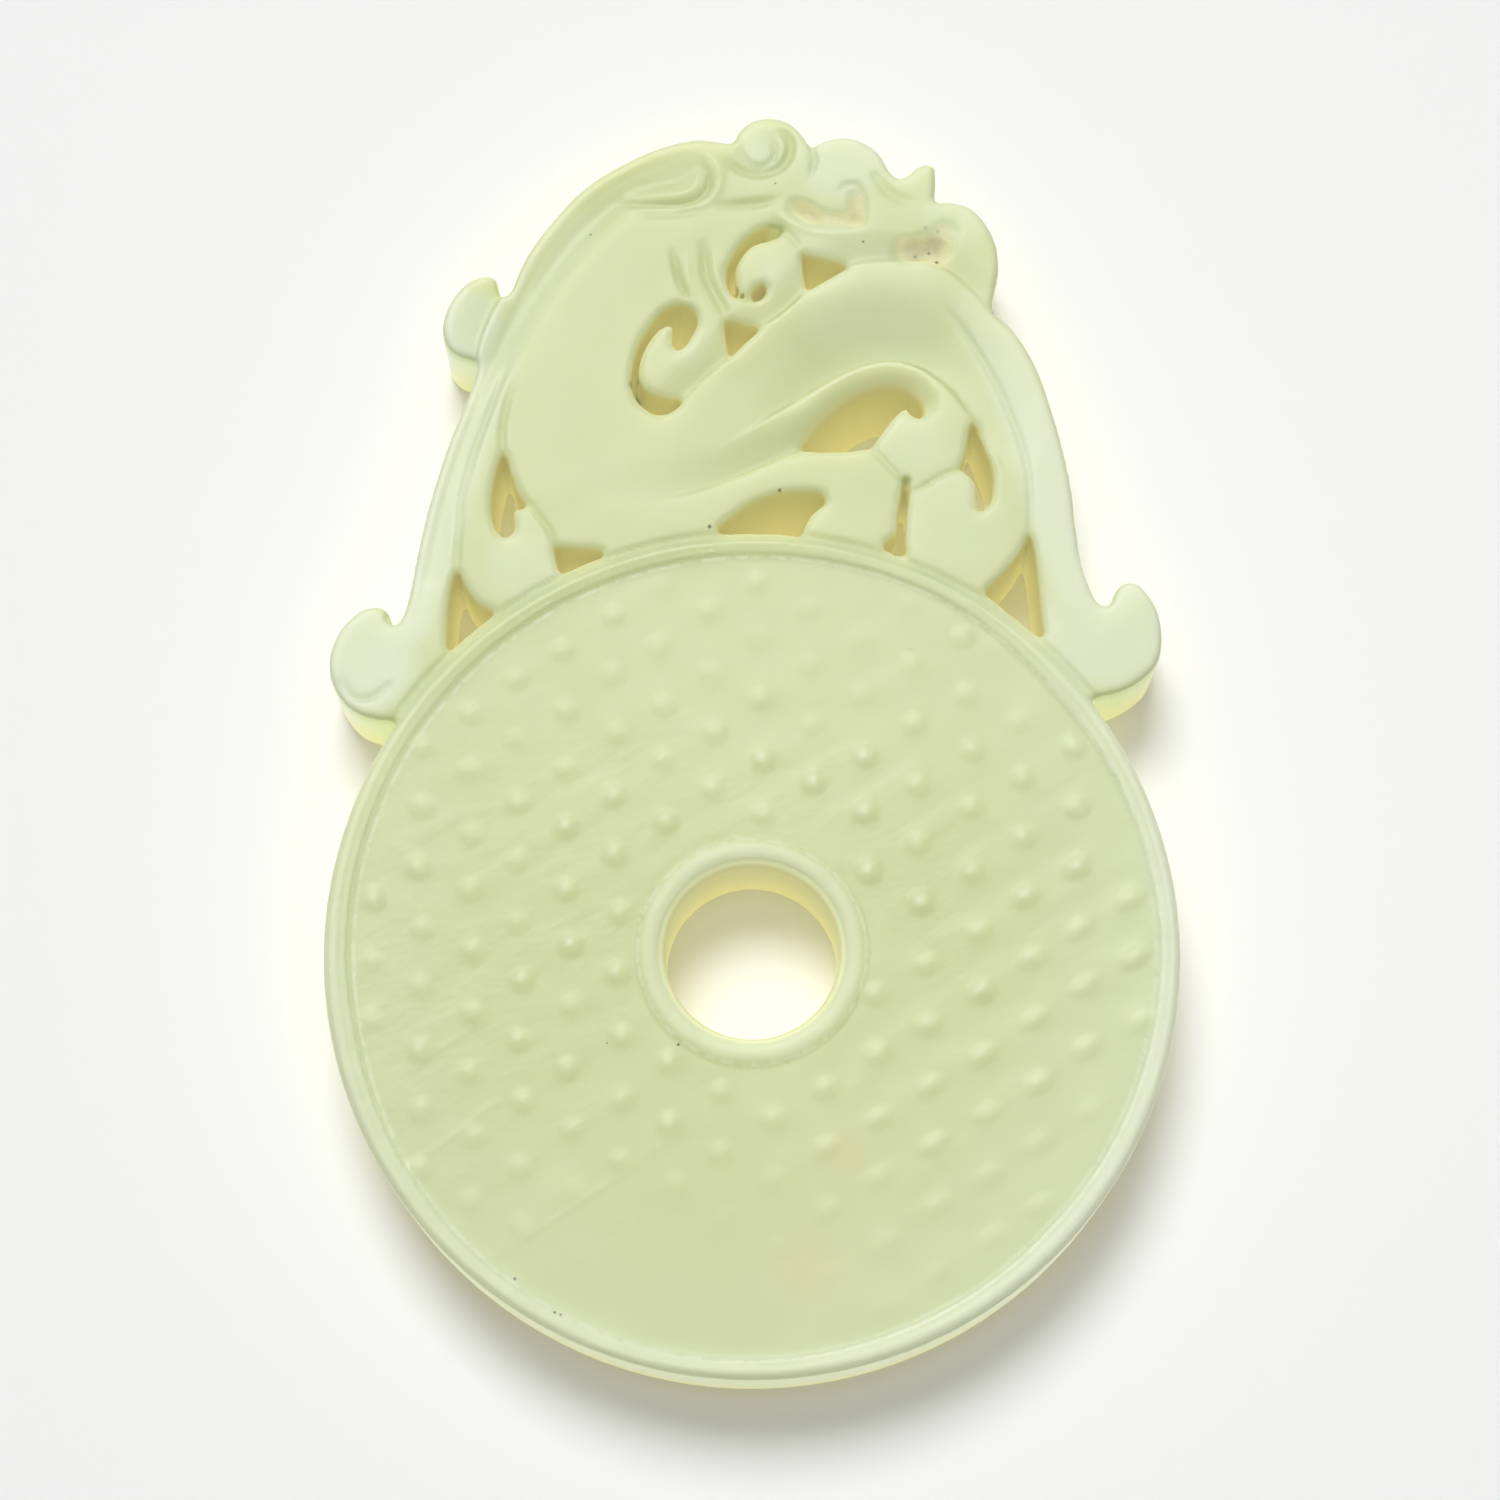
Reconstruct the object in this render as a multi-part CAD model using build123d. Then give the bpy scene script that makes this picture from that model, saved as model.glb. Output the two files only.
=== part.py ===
from build123d import *
import math
import os

# A jade pendant carved from one stone: a flat ring disc, the bi, with rows of low grains,
# and an openwork crest above it, in which a young dragon coils.
# The back lies on z = 0 and the carved face looks up. The origin is on the axis of the bore,
# and +Y points from the bore to the top of the crest.
# Lengths are in millimetres.

# disc
disc_radius = 26.05
disc_shift = 0.3           # the disc's centre lies this far above the bore, as it was ground by hand
body_thickness = 7.4       # back to the top of the rim
field_depth = 0.45         # the field of grains lies this far below the rim
rim_width = 0.7            # band from the disc's edge to its first line
rim_rounding = 0.6         # roll of the rim's outer edge
rim_fall = 0.05            # the rim's top slopes down by this much to its first line
line_width = 0.3           # each of the two lines inside the rim
line_depth = 0.25          # lines below the field
bead_width = 0.25          # raised bead between the two lines
bead_rise = 0.2            # bead above the field
back_chamfer = 0.35

# bore and its collar
bore_radius = 5.3
bore_rounding = 0.9        # roll from the collar's top into the bore
collar_width = 1.65        # from the bore to the collar's foot
collar_rise = 0.35         # collar above the field
collar_slope = 0.3         # width of the slope down to the foot
collar_line_depth = 0.2    # line round the foot, below the field

# grains on the field
grain_radius = 0.72
grain_height = 0.26
grain_pitch = 3.75         # from grain to grain up a column
right_column_pitch = 3.2   # from column to column on the right, where they stand wider
left_column_pitch = 3.0
grain_start_x = 0.9        # one grain's centre, from which the pattern is laid out
grain_start_y = 8.45
grain_margin = 0.4         # bare strip beside the rim's lines and the collar's line

# crest
crest_half_width = 26.0    # centre line to the tips of the hooks
crest_reach = 54.35        # disc's centre to the top curl
crest_drop = 0.15          # crest's face below the rim's top
crest_bevel = 0.55         # slope along the crest's outer edge
seat_gap = 0.3             # the line where the crest meets the rim lies this far outside the disc
seat_overlap = 0.2         # the crest's plate reaches this far under the rim
line_cutter = 0.42         # radius of the round tool that carves the crest's lines
crest_line_depth = 0.42
cove_cutter = 4.2          # radius of the round tool that hollows the broad coves
cove_depth = 0.75
mouth_depth = 1.2
pit_depth = 0.9

# The crest is drawn on squares: so many from the centre line to a hook's tip,
# and so many from the disc's centre to the top curl.
squares_out = 26.0
squares_up = 54.35

crest_face = body_thickness - crest_drop

# Outlines are lists of runs. A smooth curve goes through each run's points (across, up)
# and on to the first point of the next run, where the outline turns a corner.
crest_outline = [
    [(-21.1, 14.8), (-22.8, 14.85), (-24.2, 15.4), (-25.25, 16.6), (-25.78, 18.2), (-25.5, 19.85),
     (-24.55, 21.35), (-23.4, 22.1), (-22.5, 22.1)],
    [(-22.05, 21.75), (-22.0, 21.15), (-21.7, 20.95), (-21.35, 21.25), (-20.92, 22.3), (-20.52, 24.2),
     (-20.17, 26.0), (-19.67, 28.2), (-18.97, 30.6), (-18.25, 32.8), (-17.4, 34.9), (-16.7, 36.8)],
    [(-16.4, 38.35), (-17.35, 38.5), (-18.2, 39.05), (-18.6, 40.0), (-18.57, 41.0), (-18.12, 42.2),
     (-17.25, 43.35), (-16.2, 43.93), (-15.42, 43.95)],
    [(-15.08, 43.7)],
    [(-14.92, 42.6), (-14.6, 42.6), (-14.25, 42.95), (-13.8, 44.0), (-13.15, 45.35), (-12.22, 46.74),
     (-11.22, 47.97), (-10.0, 49.3), (-8.58, 50.45), (-6.95, 51.4), (-5.12, 52.27), (-3.27, 52.83),
     (-1.6, 52.97), (-0.4, 52.75)],
    [(0.2, 52.65), (0.45, 53.3), (1.08, 53.97), (2.3, 54.35), (3.6, 54.12), (4.6, 53.2)],
    [(5.15, 52.2), (5.95, 52.65), (7.2, 52.9), (8.6, 52.5), (9.7, 51.5), (10.2, 50.45),
     (10.75, 49.97), (11.3, 50.15), (11.9, 50.68), (12.55, 50.88)],
    [(13.15, 50.6), (13.1, 49.3)],
    [(12.95, 48.2), (14.0, 48.23), (15.25, 47.8), (16.25, 46.65), (16.8, 45.3), (16.95, 44.0),
     (16.77, 42.8), (16.5, 41.7)],
    [(16.4, 40.7), (17.15, 40.05), (18.3, 38.35), (19.15, 36.5), (19.72, 34.5), (20.22, 32.45),
     (20.58, 30.6), (20.83, 28.8), (20.95, 27.0), (21.08, 25.0), (21.38, 23.2), (21.85, 21.75),
     (22.25, 21.15), (22.65, 21.05), (23.15, 21.85), (23.75, 22.48), (24.5, 22.48), (25.22, 21.8),
     (25.82, 20.6), (26.0, 19.2), (25.85, 17.8), (25.25, 16.7), (24.3, 15.95), (23.2, 15.4),
     (22.0, 15.15)],
    [(21.0, 15.0)],
    [(16.0, 10.0)],
    [(-16.0, 10.0)],
]

# gaps cut right through the crest
gaps = {
    "left_triangle": [
        [(-17.75, 24.6), (-17.4, 23.6), (-16.8, 22.5)],
        [(-15.3, 21.65), (-16.9, 20.4)],
        [(-18.5, 19.0), (-18.35, 21.3), (-18.1, 23.5)],
    ],
    "left_slit": [
        [(-14.75, 32.2), (-15.2, 31.1), (-15.5, 29.6), (-15.6, 28.2), (-15.35, 27.1),
         (-14.85, 26.5), (-14.35, 26.65)],
        [(-14.2, 27.2), (-14.2, 27.8)],
        [(-14.25, 28.3), (-13.85, 28.3)],
        [(-13.35, 28.45), (-13.9, 29.2), (-14.3, 30.2), (-14.5, 31.3)],
    ],
    "left_corner": [
        [(-11.7, 25.85), (-10.6, 25.6), (-9.4, 25.5)],
        [(-8.2, 25.25), (-9.8, 24.65)],
        [(-11.3, 24.0), (-11.6, 24.9)],
    ],
    "great_curl": [
        [(-3.3, 35.25), (-4.1, 34.6), (-5.0, 34.35), (-5.95, 34.85), (-6.55, 35.75), (-6.65, 36.85),
         (-6.42, 38.2), (-5.95, 39.4), (-5.25, 40.4), (-4.6, 41.2), (-3.7, 41.6), (-2.8, 41.35),
         (-2.4, 40.6), (-2.75, 39.6), (-3.25, 38.85)],
        [(-3.7, 38.6), (-4.0, 39.0), (-3.95, 39.7)],
        [(-4.1, 40.35), (-4.75, 40.1), (-5.4, 39.4), (-5.95, 38.4), (-6.2, 37.3), (-6.1, 36.4),
         (-5.5, 35.75), (-4.6, 35.4)],
    ],
    "small_triangle": [
        [(-0.65, 40.6), (0.3, 40.25)],
        [(1.75, 39.95), (0.7, 39.2)],
        [(-0.35, 38.05), (-0.6, 39.3)],
    ],
    "little_curl": [
        [(3.1, 46.2), (2.6, 46.8), (1.7, 46.6), (0.7, 45.8), (0.0, 44.9), (-0.45, 43.8),
         (-0.4, 42.85), (-0.1, 42.25)],
        [(0.3, 42.1), (0.1, 43.0), (0.1, 44.0), (0.45, 44.9), (1.15, 45.55), (2.1, 45.85)],
    ],
    "little_eye": [
        [(2.05, 43.0), (1.55, 42.8)],
        [(1.15, 42.55), (1.1, 42.2)],
        [(1.2, 41.85), (1.75, 42.0)],
    ],
    "neck_corner": [
        [(4.25, 45.15), (5.0, 44.65), (6.1, 44.4)],
        [(7.3, 43.95), (6.2, 43.3), (5.4, 42.85)],
        [(4.75, 42.45), (4.5, 43.3), (4.4, 44.2)],
    ],
    "great_eye": [
        [(3.8, 31.75), (4.8, 33.0), (6.2, 34.4), (7.8, 35.4), (9.4, 35.8), (10.8, 35.5),
         (11.55, 34.7)],
        [(11.65, 33.65), (11.15, 33.8)],
        [(10.65, 34.45), (9.7, 33.6), (9.0, 32.7)],
        [(8.35, 31.75), (7.0, 31.6), (5.4, 31.6)],
    ],
    "rim_eye": [
        [(-1.8, 26.45), (-0.4, 27.55), (1.0, 28.4), (2.6, 28.85), (4.2, 28.95), (5.15, 28.75)],
        [(5.35, 28.1), (4.5, 27.5), (4.05, 26.8)],
        [(3.8, 26.05), (2.2, 26.35), (0.2, 26.4)],
    ],
    "thin_slit": [
        [(10.3, 29.5), (10.05, 28.2), (9.85, 26.9)],
        [(9.75, 26.0), (9.2, 25.6)],
        [(8.75, 25.1), (9.6, 24.8)],
        [(10.4, 24.55), (10.22, 25.4), (10.28, 26.6), (10.52, 28.0)],
    ],
    "right_gap": [
        [(14.75, 33.7), (14.5, 32.4), (14.25, 31.1)],
        [(13.85, 30.2), (14.4, 29.8), (14.8, 29.2), (14.85, 28.3)],
        [(14.75, 27.5), (15.2, 27.45), (15.62, 27.85), (15.87, 28.8), (15.9, 29.9), (15.55, 31.3),
         (15.1, 32.7)],
    ],
    "right_triangle": [
        [(18.05, 26.1), (17.4, 24.6), (16.4, 23.35)],
        [(15.0, 22.1), (16.4, 20.9)],
        [(18.75, 18.8), (18.5, 21.0), (18.4, 23.5)],
    ],
}

# recesses that stop inside the stone
mouth_front = [
    [(3.75, 48.0), (4.5, 47.35)],
    [(5.3, 46.95), (5.15, 47.8)],
    [(5.0, 48.75), (4.4, 48.7)],
]
mouth_back = [
    [(7.4, 46.75), (8.3, 46.75)],
    [(8.4, 47.6), (8.45, 48.5), (8.1, 49.2), (7.5, 49.35)],
    [(7.15, 49.0), (7.35, 48.0)],
]
rough_pit = [
    [(10.4, 44.6), (12.0, 44.25)],
    [(13.2, 44.0), (13.5, 45.0), (14.4, 45.9), (14.2, 46.5), (12.8, 46.6), (11.5, 46.0)],
]

# lines carved into the crest's face: (across, up, share of the full depth)
crest_lines = {
    "left_band": [(-17.8, 24.6, 0.6), (-17.65, 26.5, 1), (-17.45, 29.0, 1), (-16.9, 31.2, 1),
                  (-16.2, 33.3, 1), (-15.5, 35.2, 1), (-14.9, 36.8, 0.8), (-14.2, 38.5, 0)],
    "left_limb": [(-14.85, 31.9, 0.8), (-14.85, 33.6, 1), (-14.5, 35.4, 0.8), (-13.9, 37.2, 0)],
    "teardrop": [(-7.6, 48.7, 0), (-6.4, 48.55, 0.7), (-4.9, 48.45, 1), (-3.3, 48.45, 1),
                 (-2.2, 48.8, 1), (-1.55, 49.5, 1), (-1.5, 50.4, 0.8), (-2.0, 51.2, 0)],
    "crescent": [(-1.4, 48.0, 0), (0.0, 47.9, 0.9), (1.3, 48.0, 0.9), (2.7, 48.5, 0)],
    "top_curl": [(-0.4, 51.5, 0), (0.5, 50.75, 0.8), (1.6, 50.4, 1), (2.7, 50.6, 1),
                 (3.5, 51.2, 1), (3.85, 52.2, 1), (3.6, 53.0, 0.7), (2.9, 53.3, 0)],
    "lobe_line": [(5.2, 52.1, 0.8), (5.35, 51.3, 0.8), (5.2, 50.6, 0.6), (5.0, 49.9, 0)],
    "stem_left": [(-3.9, 45.3, 0), (-3.7, 44.2, 0.9), (-3.5, 43.2, 1), (-3.0, 42.2, 0.8)],
    "stem_right": [(-1.85, 45.9, 0), (-1.85, 44.6, 1), (-1.75, 43.5, 1), (-1.3, 42.4, 1),
                   (-0.75, 41.2, 0.8)],
    "neck_low": [(-3.6, 35.0, 0.8), (-2.3, 36.3, 1), (-1.1, 37.45, 1), (-0.3, 38.1, 0.8)],
    "neck_mid": [(1.5, 39.85, 0.8), (2.8, 40.75, 1), (3.9, 41.7, 1), (4.8, 42.6, 0.8)],
    "neck_top": [(7.0, 43.85, 0.8), (8.6, 44.25, 1), (10.4, 44.3, 1), (12.2, 44.1, 1),
                 (13.8, 43.3, 1), (15.2, 41.9, 1), (16.3, 40.4, 1)],
    "right_band": [(12.8, 41.7, 0), (14.2, 39.6, 0.8), (15.3, 37.9, 1), (16.4, 35.8, 1),
                   (17.3, 33.4, 1), (17.95, 31.0, 1), (18.2, 28.8, 1), (18.1, 26.0, 0.8)],
    "limb_top": [(2.4, 34.2, 0), (4.0, 35.1, 0.9), (6.0, 36.35, 1), (8.0, 37.25, 1),
                 (9.8, 37.5, 1), (11.4, 37.1, 1), (12.8, 36.1, 1), (13.9, 34.8, 1),
                 (14.7, 33.4, 0.8)],
    "limb_low": [(-3.9, 28.9, 0), (-2.2, 29.2, 0.8), (0.0, 30.0, 1), (2.0, 30.85, 1),
                 (4.1, 31.75, 0.8)],
    "hock_line": [(8.4, 31.6, 0.8), (9.1, 30.8, 1), (9.7, 30.1, 1), (10.3, 29.3, 0.8)],
    "knee_line": [(10.5, 28.7, 0.8), (11.5, 29.05, 1), (12.6, 29.7, 1), (13.95, 30.15, 0.8)],
    "haunch_line": [(-14.2, 30.3, 0.8), (-13.55, 29.0, 1), (-12.65, 27.8, 1), (-11.95, 26.7, 1),
                    (-11.6, 25.6, 0.8)],
    "volute_line": [(-14.9, 42.3, 0.6), (-15.55, 41.2, 0.8), (-16.1, 40.0, 0.8),
                    (-16.5, 38.3, 0.6)],
}

# broad coves between the coils, in the same columns
crest_coves = {
    "neck_cove": [(0.5, 34.6, 0), (3.4, 36.9, 0.7), (6.6, 38.9, 1), (9.8, 39.6, 1),
                  (12.4, 38.5, 0.8), (14.4, 35.8, 0.2)],
    "shoulder_cove": [(-9.4, 33.5, 0), (-6.6, 31.2, 0.5), (-3.6, 31.2, 0.7), (0.2, 32.4, 0.6),
                      (2.9, 33.3, 0)],
}


def at_squares(across, up):
    """Where a point of the drawing lies on the stone."""
    return (across / squares_out * crest_half_width,
            disc_shift + up / squares_up * crest_reach)


def contour_face(runs):
    """Flat face inside a closed outline of runs."""
    edges = []
    for number, run in enumerate(runs):
        following = runs[(number + 1) % len(runs)]
        points = [Vector(*at_squares(*point)) for point in run + following[:1]]
        if len(points) == 2:
            edges.append(Edge.make_line(*points))
        else:
            edges.append(Edge.make_spline(points))
    return Face(Wire(edges))


def upright(runs, low, high):
    """Block with straight walls between two heights."""
    return Pos(0, 0, low) * extrude(contour_face(runs), high - low, dir=(0, 0, 1))


def carved_line(rows, cutter, depth):
    """Round tool run along a line: its tip reaches each row's share of the depth."""
    points = [Vector(*at_squares(across, up), crest_face + cutter - depth * share)
              for across, up, share in rows]
    path = Edge.make_spline(points)
    start = Plane(origin=path @ 0, z_dir=path % 0)
    return sweep(start * Circle(cutter), path=path)


def turned(profile):
    """Solid turned about the Z axis from a closed profile of (radius, height) edges."""
    return revolve(Plane.XZ * make_face(profile), axis=Axis.Z)


def disc_solid():
    """Ring disc with a rolled rim, two lines inside it and a sunk field."""
    field = body_thickness - field_depth
    shoulder = disc_radius - rim_rounding
    first_line = disc_radius - rim_width
    bead_out = first_line - line_width
    bead_in = bead_out - bead_width
    field_edge = bead_in - line_width
    line_floor = field - line_depth
    roll_sag = rim_rounding * (1 - math.sqrt(0.5))
    profile = Curve() + [
        Polyline(
            (0, 0),
            (disc_radius - back_chamfer, 0),
            (disc_radius, back_chamfer),
            (disc_radius, body_thickness - rim_rounding),
        ),
        ThreePointArc(
            (disc_radius, body_thickness - rim_rounding),
            (disc_radius - roll_sag, body_thickness - roll_sag),
            (shoulder, body_thickness),
        ),
        Polyline(
            (shoulder, body_thickness),
            (first_line, body_thickness - rim_fall),
            (first_line - line_width / 2, line_floor),
            (bead_out, field),
        ),
        ThreePointArc(
            (bead_out, field),
            ((bead_out + bead_in) / 2, field + bead_rise),
            (bead_in, field),
        ),
        Polyline(
            (bead_in, field),
            (bead_in - line_width / 2, line_floor),
            (field_edge, field),
            (0, field),
            (0, 0),
        ),
    ]
    return Pos(0, disc_shift, 0) * turned(profile)


def collar_solid():
    """Raised ring round the bore, let into the field."""
    field = body_thickness - field_depth
    foot = bore_radius + collar_width
    crown = field + collar_rise
    profile = Polyline(
        (bore_radius / 2, field / 2),
        (foot, field / 2),
        (foot, field),
        (foot - collar_slope, crown),
        (bore_radius / 2, crown),
        (bore_radius / 2, field / 2),
    )
    return turned(profile)


def collar_line():
    """Round tool turned about the collar's foot."""
    field = body_thickness - field_depth
    ring = Torus(bore_radius + collar_width, line_width)
    return Pos(0, 0, field + line_width - collar_line_depth) * ring


def bore_cutter():
    """Straight bore with a rolled upper edge."""
    crown = body_thickness - field_depth + collar_rise
    mouth = bore_radius + bore_rounding
    roll_sag = bore_rounding * (1 - math.sqrt(0.5))
    profile = Curve() + [
        Polyline((0, 0), (bore_radius, 0), (bore_radius, crown - bore_rounding)),
        ThreePointArc(
            (bore_radius, crown - bore_rounding),
            (bore_radius + roll_sag, crown - roll_sag),
            (mouth, crown),
        ),
        Polyline((mouth, crown), (0, crown), (0, 0)),
    ]
    return turned(profile)


def grain_places():
    """Centres of the grains: columns across the field, every other one half a pitch up."""
    lines = rim_width + 2 * line_width + bead_width
    outer = disc_radius - lines - grain_margin - grain_radius
    inner = bore_radius + collar_width + line_width + grain_margin + grain_radius
    columns = math.ceil((disc_radius + abs(grain_start_x)) / min(left_column_pitch, right_column_pitch))
    rows = math.ceil((disc_radius + abs(grain_start_y)) / grain_pitch) + 1
    places = []
    for column in range(-columns, columns + 1):
        x = grain_start_x + column * (left_column_pitch if column < 0 else right_column_pitch)
        for row in range(-rows, rows + 1):
            y = grain_start_y + (row + 0.5 * (column % 2)) * grain_pitch
            if math.hypot(x, y - disc_shift) < outer and math.hypot(x, y) > inner:
                places.append((x, y))
    return places


def grain_solids():
    """Low domes that stand on the field."""
    field = body_thickness - field_depth
    ball = (grain_radius ** 2 + grain_height ** 2) / (2 * grain_height)
    root = field_depth
    dome = Sphere(ball) & Pos(0, 0, ball) * Box(2 * ball, 2 * ball, 2 * (grain_height + root))
    return [Pos(x, y, field + grain_height - ball) * dome for x, y in grain_places()]


def outside_disc(edges):
    """Those edges whose middle lies clear of the disc."""
    return [edge for edge in edges
            if math.hypot(edge.center().X, edge.center().Y - disc_shift) > disc_radius]


def crest_solid():
    """Openwork plate with a bevelled outer edge, carved on its face and hollowed for the disc."""
    plate = upright(crest_outline, 0, crest_face)
    plate -= [upright(runs, 0, crest_face) for runs in gaps.values()]
    plate = chamfer(outside_disc(plate.faces().sort_by(Axis.Z)[-1].outer_wire().edges()), crest_bevel)
    plate = chamfer(outside_disc(plate.faces().sort_by(Axis.Z)[0].outer_wire().edges()), back_chamfer)
    seat = Pos(0, disc_shift, crest_face / 2) * Cylinder(disc_radius - seat_overlap, 2 * crest_face)
    seat_line = Pos(0, disc_shift, crest_face + line_cutter - crest_line_depth) * Torus(
        disc_radius + seat_gap, line_cutter)
    lines = [carved_line(rows, line_cutter, crest_line_depth) for rows in crest_lines.values()]
    coves = [carved_line(rows, cove_cutter, cove_depth) for rows in crest_coves.values()]
    mouth = [upright(runs, crest_face - mouth_depth, crest_face)
             for runs in (mouth_front, mouth_back)]
    pit = upright(rough_pit, crest_face - pit_depth, crest_face)
    return plate - seat - coves - [seat_line, pit] - mouth - lines


def pendant():
    """The whole stone."""
    stone = disc_solid() + crest_solid()
    stone = stone + collar_solid() - bore_cutter() - collar_line()
    return stone + grain_solids()


os.makedirs("parts", exist_ok=True)
export_step(pendant(), "parts/jade_pendant.step")
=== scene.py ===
import math
import bpy
import bmesh
import numpy as np
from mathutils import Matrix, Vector, kdtree, noise


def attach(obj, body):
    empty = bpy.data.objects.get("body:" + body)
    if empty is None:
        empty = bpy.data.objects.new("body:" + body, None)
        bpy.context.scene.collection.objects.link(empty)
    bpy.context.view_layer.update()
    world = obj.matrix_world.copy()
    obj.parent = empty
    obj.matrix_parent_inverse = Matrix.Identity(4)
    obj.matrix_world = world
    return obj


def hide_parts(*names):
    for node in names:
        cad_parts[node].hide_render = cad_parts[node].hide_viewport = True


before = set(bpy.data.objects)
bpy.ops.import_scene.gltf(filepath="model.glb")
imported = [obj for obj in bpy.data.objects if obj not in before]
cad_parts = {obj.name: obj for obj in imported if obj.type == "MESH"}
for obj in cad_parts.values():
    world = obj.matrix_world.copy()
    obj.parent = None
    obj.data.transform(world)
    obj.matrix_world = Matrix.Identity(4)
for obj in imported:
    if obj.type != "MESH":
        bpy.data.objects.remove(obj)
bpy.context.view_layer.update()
print("frame loaded")

mm = 0.001

# the disc and its field, in millimetres from the bore's axis
disc = {
    "radius": 26.05,
    "shift": 0.3,            # the disc's centre above the bore
    "rimTop": 7.4,
    "rimRoll": 0.6,
    "fieldTop": 7.1,         # 0.15 above the solid's field, as the photo shows a low rim
    "beadRise": 0.1,
    "beadWidth": 0.3,
    "beadInwards": 0.05,     # the bead lies this far inside the middle between the lines
    "lineDepth": 0.09,
    "lineWidth": 0.2,
    "firstLineInwards": 0.1,
    "stepWidth": 1.3,        # the slope from the rim down to the field
    "stepInwards": 0.3,
    # how far out the two hand-cut lines run: (angle, first line, second line)
    "lines": [(0, 25.3, 24.65), (40, 25.1, 24.5), (60, 25.6, 24.9), (90, 25.4, 24.9),
              (150, 25.2, 24.7), (190, 25.0, 24.4), (225, 25.3, 24.8), (255, 25.4, 24.9),
              (285, 25.2, 24.6), (315, 25.1, 24.4)],
}

collar = {
    "bore": 5.3,
    "boreRoll": 0.9,
    "top": 7.3,
    "foot": 6.95,
    "slope": 0.9,
    "lineDepth": 0.09,
    "lineWidth": 0.22,
    "lineOut": 0.15,         # the line lies this far outside the foot
}

grains = {
    "radius": 0.95,
    "height": 0.3,
    "sizes": (0.5, 1.2),
    "seed": 7,
    "columns": (-9, 9),
    "rows": (-10, 8),
    "near": 2,               # a grain shapes only what lies this near to its centre
    "stretch": 1.4,          # grains low on the right are drawn out along the cuts
    "stretchFrom": 6,
    "stretchRun": 16,
    "squeeze": 0.4,
    "pitch": 3.75,
    "columnsRight": 3.2,     # from column to column right of the bore, and left of it
    "columnsLeft": 3.0,
    "start": (0.9, 8.45),
    "sag": 0.035,            # the columns on the left start this much lower for each mm out
    "jitter": 0.18,
    "clearOfRim": 1.9,
    "clearOfBore": 7.9,
    "cutAngle": 30,          # the diagonal cuts between the grains
    "cutDepth": 0.025,
    "cutWidth": 0.8,
    "cutsClearOfRim": 0.6,
    "cutsClearOfBore": 7.8,
    "cutsFade": 0.8,
    # long scratches: (x, y, share)
    "scratches": [[(-16.4, -18.4, 0.8), (-12.5, -16.1, 1), (-8.4, -13.5, 0.8), (-4.0, -10.4, 0.2)],
                  [(-20.6, -12.6, 0.4), (-17.0, -9.8, 1), (-13.6, -7.6, 0)],
                  [(-21.5, -7.0, 0.3), (-17.6, -4.6, 0.8), (-14.8, -2.6, 0)],
                  [(-18.6, 3.6, 0), (-15.4, 5.6, 0.7), (-11.8, 8.2, 0)],
                  [(8.4, -14.6, 0), (11.4, -12.6, 0.7), (14.6, -10.6, 0)]],
    "scratchRise": 0.04,
    "scratchWidth": 0.3,
    # how strongly the field is worked: (x, y, strength)
    "strength": [(-21, 0, 0.65), (-17, -9, 0.65), (-15, 8, 0.6), (-9, 4, 0.8), (-9, -7, 0.55),
                 (-14, -15, 0.35), (-4, 12, 0.6), (-15, 16, 0.4), (0, 17, 0.3), (6, 21, 0.2),
                 (-7, 20, 0.35), (2, 9, 0.95), (8, 6, 1.0), (12, 1, 1.0), (18, 6, 0.9),
                 (18, -4, 0.8), (12, -6, 0.8), (8, -10, 0.6), (14, -14, 0.35), (0, -12, 0.35),
                 (0, -20, 0.12), (-8, -19, 0.1), (8, -19, 0.2), (20, -11, 0.4), (13, 15, 0.45)],
    "strengthReach": 4.5,
}

# the crest's relief; rows are (across, up from the disc's centre, share of the depth)
crest = {
    "face": 7.25,
    "edgeRoll": 0.5,
    "wallFrom": 3.0,         # walls follow the face above this height
    "moatDepth": 0.2,        # where the crest meets the disc's rim
    "moatWidth": 0.42,
    "moatOut": 0.2,          # its middle lies this far outside the disc
    "stepEdge": 0.24,        # how soft the steps' upper edges are
    # vertices inside these circles all follow the face: (across, up, radius)
    "filled": [(4.6, 48.0, 1.35), (7.9, 48.05, 1.75), (12.4, 45.3, 2.4)],
}

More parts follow.
